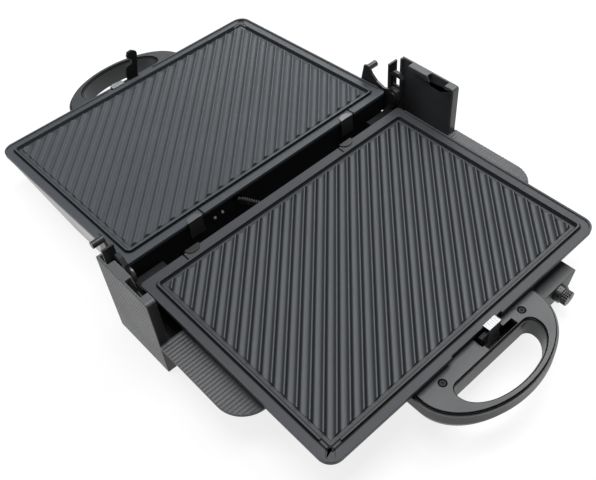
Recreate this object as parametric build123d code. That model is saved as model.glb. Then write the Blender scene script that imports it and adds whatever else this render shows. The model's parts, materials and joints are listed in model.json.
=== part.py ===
from build123d import *
from math import asin, ceil, cos, hypot, pi, radians, sin, sqrt, tan
import os

os.makedirs("parts", exist_ok=True)

# All sizes are millimetres. The hinge line is y = 0, the table is z = 0, +x is right, +y towards the lid.
# Two level frames are used: the plate frame has z = 0 at the top of the plate's bead, and the pivot frame at the hinge line.

# Cooking plates, the same casting twice
bead_width = 300.0
bead_depth = 213.0
bead_wall = 2.0
bead_corner = 5.0
flange_margin = 9.5
flange_thickness = 3.2
outer_corner = 12.5
hinge_corner = 4.0
hinge_to_bead = 18.1
band_drop = 2.2
lip_height = 1.3
lip_width = 2.0
margin_drop = 3.4
field_margin = 6.6
rib_pitch = 9.9
rib_crest = 1.2
rib_height = 2.6
rib_valley_rise = 0.1
rib_angle = 45.8
rib_phase = 1.1
pan_inset = 6.0
pan_depth = 7.0
drain_gap = 11.5
drain_length = 11.0
drain_width = 7.0
drain_sink = 1.2
notch_half_width = 30.0
notch_depth = 2.0
clip_left = -103.0
clip_right = 85.4
clip_width = 15.0
clip_steel = 1.1
clip_reach = 5.4
clip_leg = 20.0
clip_slot_width = 1.4
clip_slot_away = 2.2

# Hinge and standing heights
base_plane_height = 53.0
pivot_above_base_plane = 5.6
lid_plane_above_pivot = 5.0
lid_tilt = 3.69
float_travel = 16.0
feet_height = 3.5
floor_thickness = 2.5

# Fits and gaps
running_clearance = 0.05
slide_clearance = 0.1
seat_gap = 0.3
part_line = 0.1

# Base tub
tub_wall = 2.5
tub_top_side_inset = 6.5
tub_top_front_inset = 8.6
tub_bottom_side_inset = 28.5
tub_bottom_front_inset = 34.6
tub_back = 9.0
tub_corner = 10.0
floor_window_inset = 20.0
post_radius = 4.0

# Heater and its tray
heater_radius = 3.25
heater_inset = 26.0
heater_bend = 22.0
tray_inset = 14.0
tray_rim = 6.0
tray_sheet = 0.8
tray_depth = 11.0

# Loop handles
handle_half_width = 72.8
handle_bend = 246.0
handle_root = 170.0
handle_front = 295.2
handle_top_drop = 9.5
handle_taper_drop = 22.5
handle_taper = 3.0
handle_bottom_drop = 30.0
handle_cover_thickness = 3.0
handle_wall = 2.0
handle_step = 2.0
finger_centre = 0.5
finger_half_width = 47.5
finger_edge = 255.0
finger_bend = 263.0
finger_front = 287.5
finger_corner = 7.0
handle_screw_x = 48.0
handle_screw_y = 247.0
screw_head_radius = 2.6
screw_head_height = 1.6
screw_shank_radius = 1.5
screw_sink = 0.3
boss_radius = 4.0

# Lock slot in the base handle and the post on the lid handle
lock_slot_start = 1.0
lock_slot_end = 35.0
lock_slot_back = 246.2
lock_slot_front = 251.9
lock_travel = 7.5
lock_margin = 1.0
lock_side_margin = 0.6
lock_left = 0.2
lock_right = 13.4
lock_thickness = 3.2
lock_foot = 2.4
lock_foot_reach = 4.0
lock_foot_front = 252.0
lock_button_width = 26.0
lock_button_height = 3.4

# Plate release catch
catch_left = 9.0
catch_right = 23.5
catch_steel = 1.2
catch_lap = 0.8
catch_front = 244.8
catch_leg_bottom = 25.6
catch_bar_height = 5.0
catch_bar_right = 25.2
catch_travel = 1.6
lever_left = 0.0
lever_right = 8.9
lever_top_drop = 5.0
lever_back = 240.8
catch_spring_x = 22.7
catch_spring_radius = 1.85
catch_spring_wire = 0.7
catch_spring_pitch = 1.6
catch_spring_turns = 3

# Control box, thermostat and knob
box_right = 121.0
box_right_bottom = 114.0
box_front = 250.0
box_top_drop = 20.0
box_bottom_drop = 43.0
box_wall = 2.2
knob_x = 97.0
knob_drop = 28.0
knob_radius = 6.8
knob_length = 11.5
knob_skirt_radius = 8.0
knob_skirt_length = 5.5
knob_shaft_radius = 3.0
knob_flutes = 18
knob_flute_radius = 0.6
thermostat_width = 24.0
thermostat_depth = 10.0
thermostat_height = 16.0
thermostat_top = 5.4

# Hinge towers
tower_outer = 181.5
tower_skin = 2.2
tower_rim = 9.0
tower_front = 65.0
tower_rim_back = 8.0
tower_back = 6.0
tower_back_return = 5.5
tower_rise = 41.0
tower_ground_gap = 1.0
tower_corner = 3.0
tower_notch_front = 54.0
tower_notch_back = 32.0
tower_lip = 5.0
tower_lip_thickness = 1.7
tongue_drop = 10.5
bracket_inner = 163.2
bracket_thickness = 4.0
bracket_front = 9.0
bracket_back = 7.9
bracket_foot_front = 16.0
bracket_foot_back = 7.0
bracket_head = 5.0
rear_plate_start = 8.0
rear_plate_thickness = 2.0
rear_plate_outer = 174.6
rear_plate_rise = 39.0
block_inner = 127.3
block_outer = 159.4
block_back = 6.0
block_top_drop = 10.0
block_wall = 2.0

# Side wings
wing_drop = 12.0
wing_thickness = 3.2
wing_outer = 182.0
wing_inner = 140.0
wing_straight = 137.0
wing_end = 167.0
wing_corner = 27.0
wing_rib_pitch = 3.6
wing_rib_height = 0.4

# Float slider and hinge pins
slider_height = 14.0
slider_width = 12.0
slider_flange = 2.2
slider_flange_margin = 1.8
pin_radius = 4.0
pin_head_radius = 5.5
pin_head_length = 1.8

# Hinge arms with their hook bars
arm_inner = 160.2
arm_steel = 2.4
arm_boss_radius = 8.5
hook_reach = 34.0
hook_rise = 19.4
hook_radius = 3.4
hook_end = 172.2

# Lid body
lid_half_width = 158.0
lid_draft = 10.0
lid_back = 10.5
lid_end = 237.0
lid_flat_start = 30.0
lid_flat_end = 135.0
lid_break_reach = 222.0
lid_break_height = 31.5
lid_edge_depth = 7.0
lid_back_depth = 38.0
lid_sheet = 1.2
lid_frame_wall = 2.5
lid_split = 46.0
lid_ring_width = 12.0
lid_ring_depth = 6.0
rivet_radius = 1.3
rivet_head = 0.7

# Spring tube for the lid's wires
conduit_lid_end = (-37.0, 11.0, 51.0)
conduit_base_end = (-12.0, -8.0, 34.0)
conduit_radius = 3.3
conduit_wire = 1.1
conduit_pitch = 2.3
conduit_bend = 1.3
wires_radius = 1.6

# Cord gland
gland_radius = 5.0
gland_length = 9.0
gland_y = -110.0
gland_height = 20.0

# Worked out from the sizes above
flange_half_width = bead_width / 2 + flange_margin
flange_back = hinge_to_bead - flange_margin
flange_front = hinge_to_bead + bead_depth + flange_margin
plate_middle = hinge_to_bead + bead_depth / 2
flange_under = band_drop + flange_thickness
pivot_height = base_plane_height + pivot_above_base_plane
floor_top = feet_height + floor_thickness
rear_plate_inner = bracket_inner
handle_cover_bottom = -handle_top_drop - handle_cover_thickness


def block(x, y, z):
    """Box between two x, two y and two z values."""
    size = (abs(x[1] - x[0]), abs(y[1] - y[0]), abs(z[1] - z[0]))
    return Pos(sum(x) / 2, sum(y) / 2, sum(z) / 2) * Box(*size)


def rod_x(radius, x, y, z):
    """Round bar along x between two x values."""
    return Pos(sum(x) / 2, y, z) * Rot(0, 90, 0) * Cylinder(radius, abs(x[1] - x[0]))


def rod_y(radius, x, y, z):
    """Round bar along y between two y values."""
    return Pos(x, sum(y) / 2, z) * Rot(90, 0, 0) * Cylinder(radius, abs(y[1] - y[0]))


def rod_z(radius, x, y, z):
    """Round bar along z between two z values."""
    return Pos(x, y, sum(z) / 2) * Cylinder(radius, abs(z[1] - z[0]))


def prism_x(points, x):
    """Outline in y and z, drawn out between two x values."""
    face = Plane.YZ.offset(min(x)) * Polygon(*points, align=None)
    return extrude(face, amount=abs(x[1] - x[0]), dir=(1, 0, 0))


def prism_y(points, y):
    """Outline in x and z, drawn out between two y values."""
    face = Plane.XZ.offset(-max(y)) * Polygon(*points, align=None)
    return extrude(face, amount=abs(y[1] - y[0]), dir=(0, -1, 0))


def slab(sketch, z):
    """A level sketch drawn up between two z values."""
    return Pos(0, 0, min(z)) * extrude(sketch, amount=abs(z[1] - z[0]), dir=(0, 0, 1))


def group(parts):
    """Several separate solids as one piece."""
    return Compound([solid for part in parts for solid in part.solids()])


def both_sides(right):
    """The piece of the right side and its mirror image on the left."""
    return {"right": right, "left": mirror(right, about=Plane.YZ)}


def turned_round(part):
    """The base's piece as it lies in the lid, half a turn about the vertical."""
    return Rot(0, 0, 180) * part


# Frames in which the pieces are drawn
on_base = Pos(0, 0, base_plane_height)
on_pivot = Pos(0, 0, pivot_height)
on_lid_pivot = Pos(0, 0, pivot_height) * Rot(-lid_tilt, 0, 0)
on_lid = on_lid_pivot * Pos(0, 0, lid_plane_above_pivot)


# Cooking plate
def flange_outline(inset):
    """Plate outline with round outer corners, drawn in by inset."""
    outline = Pos(0, -(flange_back + flange_front) / 2) * Rectangle(
        2 * (flange_half_width - inset), flange_front - flange_back - 2 * inset
    )
    corners = outline.vertices().group_by(Axis.Y)
    outline = fillet(corners[0], outer_corner - inset)
    return fillet(outline.vertices().group_by(Axis.Y)[-1], max(hinge_corner - inset, 0.5))


def bead_outline(inset):
    """Outline of the bead, drawn in by inset."""
    return Pos(0, -plate_middle) * RectangleRounded(
        bead_width - 2 * inset, bead_depth - 2 * inset, max(bead_corner - inset, 0.5)
    )


def rib_comb(length):
    """Slanted ribs with thin crests and round valleys on a slab that covers the whole field."""
    under = -margin_drop - 1
    crest = -margin_drop + rib_height
    valley = -margin_drop + rib_valley_rise
    count = ceil(length / 2 / rib_pitch)
    first = -count * rib_pitch + rib_phase - rib_crest / 2
    last = count * rib_pitch + rib_phase + rib_crest / 2
    outline = [Polyline((last, crest), (last, under), (first, under), (first, crest))]
    for step in range(-count, count + 1):
        left = step * rib_pitch + rib_phase - rib_crest / 2
        right = left + rib_crest
        outline.append(Line((left, crest), (right, crest)))
        if step < count:
            low = (right + (rib_pitch - rib_crest) / 2, valley)
            outline.append(ThreePointArc((right, crest), low, (left + rib_pitch, crest)))
    face = Plane.XZ.offset(-length / 2) * make_face(Curve() + outline)
    comb = extrude(face, amount=length, dir=(0, -1, 0))
    return Pos(0, -plate_middle) * Rot(0, 0, rib_angle - 90) * comb


def cooking_plate():
    """Non-stick plate with flange, bead, ribs, drain corner and clip slots, in the plate frame."""
    plate = slab(flange_outline(0), (-flange_under, -band_drop))
    plate += slab(bead_outline(pan_inset), (-pan_depth, -band_drop - 0.5))
    lip = slab(flange_outline(0) - flange_outline(lip_width), (-band_drop - 0.5, -band_drop + lip_height))
    lip -= block(
        (-flange_half_width, flange_half_width),
        (-hinge_to_bead, -flange_back),
        (-flange_under, 0),
    )
    plate += lip
    bead = slab(bead_outline(0) - bead_outline(bead_wall), (-band_drop - 0.5, 0))
    corner_x = -bead_width / 2
    corner_y = -hinge_to_bead - bead_depth
    bead -= block((corner_x - 1, corner_x + drain_gap), (corner_y - 1, corner_y + drain_gap), (-flange_under, 1))
    plate += bead
    plate -= slab(bead_outline(bead_wall), (-margin_drop, 1))
    field = Pos(0, -plate_middle) * Rectangle(bead_width - 2 * field_margin, bead_depth - 2 * field_margin)
    ribs = rib_comb(hypot(bead_width, bead_depth) + rib_pitch) & slab(field, (-margin_drop - 0.5, 0))
    plate += ribs
    drain = Pos(corner_x - 1, corner_y - 1) * Rot(0, 0, 45) * SlotOverall(drain_length, drain_width)
    plate -= slab(drain, (-band_drop - drain_sink, -band_drop + 0.1))
    plate -= block(
        (-notch_half_width, notch_half_width),
        (-flange_front, -flange_front + notch_depth),
        (-flange_under, 0),
    )
    for middle in (clip_left, clip_right):
        side = middle - clip_width / 2 - clip_slot_away
        plate -= block(
            (side - clip_slot_width, side),
            (-hinge_to_bead + 0.6, -flange_back),
            (-flange_under, 0),
        )
    return plate


def rear_clips():
    """Two bent steel tabs over the plate's hinge edge, in the plate frame."""
    clips = []
    leg_back = -flange_back + seat_gap + clip_steel
    top = -band_drop + slide_clearance
    for middle in (clip_left, clip_right):
        half = clip_width / 2
        tab = Pos(middle, 0) * make_face(
            Curve()
            + [
                Polyline(
                    (half - 1.5, -flange_back - clip_reach + 2.2),
                    (half, -flange_back),
                    (half, leg_back),
                    (-half, leg_back),
                    (-half, -flange_back),
                    (-half + 1.5, -flange_back - clip_reach + 2.2),
                ),
                ThreePointArc(
                    (-half + 1.5, -flange_back - clip_reach + 2.2),
                    (0, -flange_back - clip_reach),
                    (half - 1.5, -flange_back - clip_reach + 2.2),
                ),
            ]
        )
        clip = slab(tab, (top, top + clip_steel))
        clip += block(
            (middle - half, middle + half),
            (leg_back - clip_steel, leg_back),
            (-clip_leg, top + clip_steel),
        )
        foot = block(
            (middle - half, middle + half),
            (-tub_back, leg_back),
            (-clip_leg, -clip_leg + 8),
        )
        clips.append(clip + foot)
    return group(clips)


# Base tub
def tub_section(z, inset):
    """Level section of the tub at a height of the plate frame, drawn in by inset."""
    bottom = floor_top - base_plane_height
    share = (z - bottom) / (-flange_under - bottom)
    side = tub_bottom_side_inset + share * (tub_top_side_inset - tub_bottom_side_inset)
    front = tub_bottom_front_inset + share * (tub_top_front_inset - tub_bottom_front_inset)
    width = 2 * (flange_half_width - side - inset)
    front_y = -(flange_front - front) + inset
    back_y = -tub_back - inset
    section = Pos(0, (front_y + back_y) / 2) * RectangleRounded(
        width, back_y - front_y, tub_corner - inset
    )
    return Pos(0, 0, z) * section


def tub_solid(inset, top, bottom):
    """Tapered block of the tub between two heights, drawn in by inset."""
    return loft([tub_section(bottom, inset), tub_section(top, inset)])


tub_bottom = floor_top - base_plane_height
tub_outside = tub_solid(0, -flange_under, tub_bottom)


def floor_window():
    """Opening in the tub's floor, which the bottom cover closes."""
    section = tub_section(tub_bottom, 0).bounding_box()
    return (
        (section.min.X + floor_window_inset, section.max.X - floor_window_inset),
        (section.min.Y + floor_window_inset, section.max.Y - floor_window_inset),
    )


tray_bottom = -pan_depth - tray_depth
post_places = [(x, -plate_middle + y) for x in (-119, 119) for y in (-62, 62)]


def base_housing():
    """Open tub with posts for the heater tray, in the plate frame."""
    tub = tub_outside - tub_solid(tub_wall, -flange_under, tub_bottom + tub_wall)
    window_x, window_y = floor_window()
    tub -= block(window_x, window_y, (tub_bottom, tub_bottom + tub_wall))
    for x, y in post_places:
        tub += rod_z(post_radius, x, y, (tub_bottom, tray_bottom))
    return tub


def bottom_cover():
    """Floor plate under the tub, with a cross bar that carries the towers, in the part's own frame."""
    window_x, window_y = floor_window()
    lap = floor_window_inset / 2
    z = (feet_height, floor_top)
    cover = block((window_x[0] - lap, window_x[1] + lap), (window_y[0] - lap, -tub_back), z)
    reach = tower_outer - tower_skin
    cover += block((-reach, reach), (-tower_front + tower_skin, tower_back - tower_skin), z)
    for x, y in cover_screw_places:
        cover -= rod_z(screw_shank_radius + running_clearance, x, y, z)
    for row in range(7):
        y = -plate_middle - 45 + 15 * row
        cover -= block((-25, 25), (y, y + 4.5), z)
    return cover


window_x, window_y = floor_window()
cover_screw_places = [
    (x, y)
    for x in (window_x[0] - 5, window_x[1] + 5)
    for y in (window_y[0] - 5, window_y[1] + 5)
]
foot_places = [(-165, -45), (165, -45), (-95, -190), (95, -190)]


def base_cover_screws():
    """Screws up through the floor plate into the tub's floor."""
    screws = []
    for x, y in cover_screw_places:
        screw = rod_z(screw_head_radius, x, y, (feet_height - screw_head_height, feet_height))
        screws.append(screw + rod_z(screw_shank_radius, x, y, (feet_height, floor_top)))
    return group(screws)


def rubber_feet():
    """Round feet, slightly tapered."""
    feet = []
    for x, y in foot_places:
        feet.append(Pos(x, y, feet_height / 2) * Cone(7, 8, feet_height))
    return group(feet)


# Heater and tray
def heater_path():
    """Line of the heater in the plate frame: a long loop with its ends at the hinge side."""
    half = bead_width / 2 - heater_inset
    front = -(hinge_to_bead + bead_depth - heater_inset)
    back = -(hinge_to_bead + heater_inset)
    inner = half - 2 * heater_bend
    return FilletPolyline(
        (-inner, back),
        (-inner, front + 2 * heater_bend),
        (inner, front + 2 * heater_bend),
        (inner, back),
        (half, back),
        (half, front),
        (-half, front),
        (-half, back),
        radius=heater_bend * 0.9,
    )


def heating_element():
    """Round tubular heater, just under the plate."""
    line = heater_path()
    tube = sweep(Plane(line @ 0, z_dir=line % 0) * Circle(heater_radius), path=line)
    return Pos(0, 0, -pan_depth - seat_gap - heater_radius) * tube


def tray_outline(inset):
    """Outline of the heater tray."""
    return Pos(0, -plate_middle) * RectangleRounded(
        bead_width - 2 * (tray_inset + inset), bead_depth - 2 * (tray_inset + inset), 8
    )


def heat_reflector():
    """Thin tray with a rim under the plate's pan."""
    tray = slab(tray_outline(0), (-pan_depth - tray_sheet, -pan_depth))
    tray += slab(tray_outline(tray_rim), (tray_bottom, -pan_depth))
    tray -= slab(tray_outline(tray_rim + tray_sheet), (tray_bottom + tray_sheet, -pan_depth))
    return tray


# Loop handle
def handle_outline(inset):
    """Outline of the loop handle, drawn in by inset."""
    half = handle_half_width - inset
    reach = handle_front - handle_bend - inset
    root = handle_root
    return make_face(
        Curve()
        + [
            EllipticalCenterArc((0, -handle_bend), half, reach, start_angle=180, arc_size=180),
            Polyline((half, -handle_bend), (half, -root), (-half, -root), (-half, -handle_bend)),
        ]
    )


def finger_outline(inset):
    """Outline of the finger hole, drawn in by inset."""
    half = finger_half_width - inset
    edge = -finger_edge - inset
    reach = finger_front - finger_bend - inset
    hole = make_face(
        Curve()
        + [
            EllipticalCenterArc((0, -finger_bend), half, reach, start_angle=180, arc_size=180),
            Polyline((half, -finger_bend), (half, edge), (-half, edge), (-half, -finger_bend)),
        ]
    )
    corners = hole.vertices().group_by(Axis.Y)[-1]
    return Pos(finger_centre, 0) * fillet(corners, finger_corner - inset)


def handle_form(inset):
    """Outer form of the handle's lower half: upright sides, then drawn in to the bottom. All faces go in by inset."""
    bend = -handle_taper_drop + inset / 2
    bottom = -handle_bottom_drop + inset
    slope = handle_taper / (handle_bottom_drop - handle_taper_drop)
    low = Pos(0, 0, bottom) * handle_outline(inset + (bend - bottom) * slope)
    high = Pos(0, 0, bend) * handle_outline(inset)
    return slab(handle_outline(inset), (bend, handle_cover_bottom)) + loft([low, high])


catch_hole = (
    (lever_left - 1, catch_right + 1),
    (-catch_front - catch_travel - 0.4, -flange_front + notch_depth),
)


def handle_shell(body):
    """Lower half of the loop handle, a hollow ring that ends on the body, in the plate frame."""
    z = (-handle_bottom_drop, handle_cover_bottom)
    shell = handle_form(0) - slab(finger_outline(0), z)
    shell -= handle_form(handle_wall) - slab(finger_outline(-handle_wall), z)
    for x in (-handle_screw_x, handle_screw_x):
        shell += rod_z(boss_radius, x, -handle_screw_y, (-handle_bottom_drop, handle_cover_bottom))
        shell -= rod_z(
            screw_shank_radius + running_clearance, x, -handle_screw_y, (-handle_bottom_drop + 8, handle_cover_bottom)
        )
    return shell - body


def handle_cover(slot, body):
    """Upper half of the loop handle with its openings, in the plate frame. slot is (x, y) ranges."""
    z = (handle_cover_bottom, -handle_top_drop)
    cover = slab(handle_outline(handle_step) - finger_outline(-handle_step / 2), z)
    for x in (-handle_screw_x, handle_screw_x):
        cover -= rod_z(screw_shank_radius + running_clearance, x, -handle_screw_y, z)
        cover -= rod_z(
            screw_head_radius + seat_gap, x, -handle_screw_y, (-handle_top_drop - screw_head_height - screw_sink, 0)
        )
    cover -= block(catch_hole[0], catch_hole[1], z)
    cover -= block(slot[0], slot[1], z)
    return cover - body


def handle_screws():
    """Two countersunk screws of a loop handle, in the plate frame."""
    screws = []
    for x in (-handle_screw_x, handle_screw_x):
        top = -handle_top_drop - screw_sink
        seat = top - screw_head_height
        head = rod_z(screw_head_radius, x, -handle_screw_y, (seat, top))
        head -= rod_z(0.9, x, -handle_screw_y, (top - 0.9, top))
        screws.append(head + rod_z(screw_shank_radius, x, -handle_screw_y, (-handle_bottom_drop + 9, seat)))
    return group(screws)


# Plate release catch
def release_clip():
    """Bent steel catch that laps over the plate's front edge, in the plate frame."""
    edge = -flange_front + notch_depth
    top = -band_drop + slide_clearance
    clip = block((catch_left, catch_right), (-catch_front, edge + catch_lap), (top, top + catch_steel))
    clip += block(
        (catch_left, catch_right), (-catch_front, -catch_front + catch_steel), (-catch_leg_bottom, top + catch_steel)
    )
    clip += block(
        (lever_right - 2, catch_bar_right),
        (-catch_front, -catch_front + catch_steel),
        (-catch_leg_bottom, -catch_leg_bottom + catch_bar_height),
    )
    return clip


def release_lever():
    """Dark thumb lever beside the steel catch, in the plate frame."""
    z = (-catch_leg_bottom + catch_bar_height, -lever_top_drop)
    lever = block((lever_left, lever_right), (-catch_front, -lever_back), z)
    lever -= block((lever_left, lever_left + 4), (-catch_front, -lever_back - 1), (-catch_leg_bottom, -lever_top_drop - 6))
    for row in range(3):
        lever += block(
            (lever_left, lever_right),
            (-catch_front + 0.5 + row * 1.2, -catch_front + 1.0 + row * 1.2),
            (-lever_top_drop, -lever_top_drop + 0.4),
        )
    return lever


def biarc(start, start_way, end, end_way):
    """Two tangent arcs from one point and direction to another."""
    step = end - start
    ways = start_way + end_way
    bend = 2 * (1 - start_way.dot(end_way))
    along = step.dot(ways)
    reach = (sqrt(along * along + bend * step.dot(step)) - along) / bend
    first = start + start_way * reach
    last = end - end_way * reach
    middle = (first + last) * 0.5
    return [
        TangentArc(start, middle, tangent=start_way),
        TangentArc(middle, end, tangent=last - first),
    ]


def coil(radius, wire, pitch, turns, bend):
    """Spring wire round the z axis from z = 0 up, in quarter turns, its ends led straight out along z."""
    slope = pitch / (2 * pi)
    low = bend + wire
    size = hypot(radius, slope)

    def point(quarter):
        turn = quarter * pi / 2
        return Vector(radius * cos(turn), radius * sin(turn), low + slope * turn)

    def way(quarter):
        turn = quarter * pi / 2
        return Vector(-radius * sin(turn) / size, radius * cos(turn) / size, slope / size)

    quarters = 4 * turns
    lower = point(0) - way(0) * bend - Vector(0, 0, bend)
    upper = point(quarters) + way(quarters) * bend + Vector(0, 0, bend)
    enter = biarc(lower, Vector(0, 0, 1), point(0), way(0))
    leave = biarc(point(quarters), way(quarters), upper, Vector(0, 0, 1))
    pieces = [Line(lower - Vector(0, 0, wire), lower), *enter]
    for quarter in range(quarters):
        pieces += biarc(point(quarter), way(quarter), point(quarter + 1), way(quarter + 1))
    pieces += [*leave, Line(upper, upper + Vector(0, 0, wire))]
    path = Wire([edge for piece in pieces for edge in piece.edges()])
    start = Plane(lower - Vector(0, 0, wire), z_dir=(0, 0, 1))
    return sweep(start * Circle(wire / 2), path=path)


def release_spring():
    """Small spring that pushes the catch back over the plate, in the plate frame."""
    spring = coil(
        catch_spring_radius, catch_spring_wire, catch_spring_pitch, catch_spring_turns, catch_spring_wire
    )
    z = -catch_leg_bottom + catch_bar_height / 2
    return Pos(catch_spring_x, -catch_front - slide_clearance, z) * Rot(90, 0, 0) * spring


# Control box
def control_box():
    """Box with a slanted right side beside the base handle, open to the tub, in the plate frame."""
    left = handle_half_width + part_line
    points = [
        (left, -box_bottom_drop),
        (box_right_bottom, -box_bottom_drop),
        (box_right, -box_top_drop),
        (left, -box_top_drop),
    ]
    box = prism_y(points, (-box_front, -tub_back - 190))
    inner = [
        (left + box_wall, -box_bottom_drop + box_wall),
        (box_right_bottom - box_wall, -box_bottom_drop + box_wall),
        (box_right - box_wall, -box_top_drop - box_wall),
        (left + box_wall, -box_top_drop - box_wall),
    ]
    box -= prism_y(inner, (-box_front + box_wall, -tub_back - 180))
    box -= rod_y(knob_shaft_radius + running_clearance, knob_x, (-box_front - 1, -box_front + box_wall + 1), -knob_drop)
    return box - tub_outside


def thermostat():
    """Thermostat block behind the box's front wall, in the plate frame."""
    back = -box_front + box_wall
    body = block(
        (knob_x - thermostat_width / 2, knob_x + thermostat_width / 2),
        (back, back + thermostat_depth),
        (-knob_drop + thermostat_top - thermostat_height, -knob_drop + thermostat_top),
    )
    body -= rod_y(knob_shaft_radius + running_clearance, knob_x, (back, back + thermostat_depth - 2), -knob_drop)
    return body


def control_knob():
    """Round fluted knob with its shaft, axis along y, in the plate frame."""
    face = -box_front - seat_gap
    knob = rod_y(knob_skirt_radius, knob_x, (face - knob_skirt_length, face), -knob_drop)
    grip = rod_y(knob_radius, knob_x, (face - knob_length, face - knob_skirt_length), -knob_drop)
    for flute in range(knob_flutes):
        turn = 2 * pi * flute / knob_flutes
        x = knob_x + knob_radius * cos(turn)
        z = -knob_drop + knob_radius * sin(turn)
        grip -= rod_y(knob_flute_radius, x, (face - knob_length, face - knob_skirt_length - 1.5), z)
    shaft_end = -box_front + box_wall + thermostat_depth - 2 - seat_gap
    shaft = rod_y(knob_shaft_radius, knob_x, (face - 1, shaft_end), -knob_drop)
    mark = block(
        (knob_x - 0.6, knob_x + 0.6),
        (face - knob_length - 0.5, face - knob_length),
        (-knob_drop + 1.5, -knob_drop + knob_radius - 1),
    )
    return knob + grip + shaft + mark


# Hinge towers, drawn for the right side in the plate frame
tower_inner = tower_outer - tower_rim
tower_bottom = tower_ground_gap - base_plane_height


def tower_cover():
    """Tray shaped cover: outer skin with a rim along the top and front and a dropped tongue."""
    skin_in = tower_outer - tower_skin
    outline = [
        (-tower_front, tower_bottom),
        (tower_back, tower_bottom),
        (tower_back, tower_rise),
        (-tower_front, tower_rise),
    ]
    cover = prism_x(outline, (tower_inner, tower_outer))
    top_front = cover.edges().filter_by(Axis.X).sort_by(lambda e: e.center().Z - e.center().Y)[-1]
    cover = fillet(top_front, tower_corner)
    cover -= block(
        (tower_inner, skin_in),
        (-tower_front + tower_skin, tower_back - tower_skin),
        (tower_bottom, tower_rise - tower_skin),
    )
    back_inner = tower_outer - tower_back_return
    cover -= block((tower_inner, skin_in), (-tower_rim_back, tower_back - tower_skin), (tower_bottom, tower_rise))
    cover -= block(
        (tower_inner, back_inner), (tower_back - tower_skin, tower_back), (tower_bottom, tower_rise)
    )
    cover -= block(
        (tower_inner, skin_in), (-tower_notch_front, -tower_notch_back), (tower_rise - tower_skin, tower_rise)
    )
    lip_x = (tower_inner, tower_inner + tower_lip_thickness)
    for start, end in ((-tower_notch_back, -tower_rim_back), (-tower_front + tower_skin, -tower_notch_front)):
        cover += block(lip_x, (start, end), (tower_rise - tower_lip, tower_rise - tower_skin))
    tongue = [
        (-tower_notch_back, tower_rise),
        (-tower_notch_back - 4, tower_rise - tongue_drop + 3),
        (-tower_notch_back - 6, tower_rise - tongue_drop + 2),
        (-tower_notch_front + 4, tower_rise - tongue_drop + 2),
        (-tower_notch_front - 1, tower_rise - tower_lip + 1),
        (-tower_notch_front - 1, tower_rise - tower_lip - 2),
        (-tower_notch_front + 5, tower_rise - tongue_drop),
        (-tower_notch_back - 8, tower_rise - tongue_drop),
        (-tower_notch_back + 3, tower_rise - tower_lip - 1.5),
        (-tower_notch_back + 3, tower_rise - tower_skin),
    ]
    cover += prism_x(tongue, lip_x)
    return cover


slot_top = pivot_above_base_plane + slider_height / 2 + float_travel + slide_clearance
slot_bottom = pivot_above_base_plane - slider_height / 2 - slide_clearance


def tower_bracket():
    """Slotted upright in which the slider rises, with the rear plate and their foot."""
    x = (bracket_inner, bracket_inner + bracket_thickness)
    foot_top = pivot_above_base_plane - 26
    bottom = floor_top - base_plane_height
    head = slot_top + bracket_head
    upright = prism_x(
        [
            (-bracket_foot_front, bottom),
            (bracket_foot_back, bottom),
            (bracket_foot_back, foot_top),
            (bracket_back, foot_top + 12),
            (bracket_back, head - 5),
            (bracket_back - 5, head),
            (-bracket_front + 5, head),
            (-bracket_front, head - 5),
            (-bracket_front, foot_top + 12),
            (-bracket_foot_front, foot_top),
        ],
        x,
    )
    upright -= block(x, (-slider_width / 2, slider_width / 2), (slot_bottom, slot_top))
    foot = block(
        (x[0] - 2, tower_outer - tower_skin - slide_clearance),
        (-tower_front + tower_skin + slide_clearance, tower_back - tower_skin - slide_clearance),
        (bottom, bottom + 3),
    )
    return upright + foot


def rear_plate():
    """Upright plate behind the tower, on a tail of the bracket's foot."""
    bottom = floor_top - base_plane_height
    y = (rear_plate_start, rear_plate_start + rear_plate_thickness)
    plate = block((rear_plate_inner, rear_plate_outer), y, (bottom - floor_thickness, rear_plate_rise))
    tail = block(
        (rear_plate_inner, rear_plate_outer),
        (tower_back - tower_skin, rear_plate_start),
        (bottom - floor_thickness, bottom),
    )
    return plate + tail


def hinge_block():
    """Hollow block that closes the end of the gap between the two halves."""
    x = (block_inner, block_outer)
    bottom = floor_top - base_plane_height
    solid = block(x, (-tub_back, block_back), (bottom, -block_top_drop))
    solid -= block(
        (x[0] + block_wall, x[1] - block_wall),
        (-tub_back + block_wall, block_back - block_wall),
        (bottom, -block_top_drop - block_wall),
    )
    return fillet(solid.edges().filter_by(Axis.X).group_by(Axis.Z)[-1].sort_by(Axis.Y)[-1], 2)


def side_wing():
    """Thin shelf beside the tub with ribs across its top."""
    outline = make_face(
        Curve()
        + [
            Polyline(
                (wing_outer - wing_corner, -wing_end),
                (wing_inner, -wing_end),
                (wing_inner, -tower_front),
                (wing_outer, -tower_front),
                (wing_outer, -wing_end + wing_corner),
            ),
            RadiusArc(
                (wing_outer, -wing_end + wing_corner), (wing_outer - wing_corner, -wing_end), wing_corner
            ),
        ]
    )
    count = int((wing_end - tower_front) / wing_rib_pitch)
    points = [(-tower_front, -wing_drop - wing_thickness), (-tower_front, -wing_drop - wing_rib_height)]
    for row in range(count):
        y = -tower_front - row * wing_rib_pitch
        points.append((y - wing_rib_pitch * 0.25, -wing_drop - wing_rib_height))
        points.append((y - wing_rib_pitch * 0.45, -wing_drop))
        points.append((y - wing_rib_pitch * 0.75, -wing_drop))
        points.append((y - wing_rib_pitch * 0.95, -wing_drop - wing_rib_height))
    points.append((-wing_end, -wing_drop - wing_rib_height))
    points.append((-wing_end, -wing_drop - wing_thickness))
    ribbed = prism_x(points, (wing_inner, wing_outer))
    wing = ribbed & slab(outline, (-wing_drop - wing_thickness, -wing_drop + 1))
    return wing - tub_outside


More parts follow.
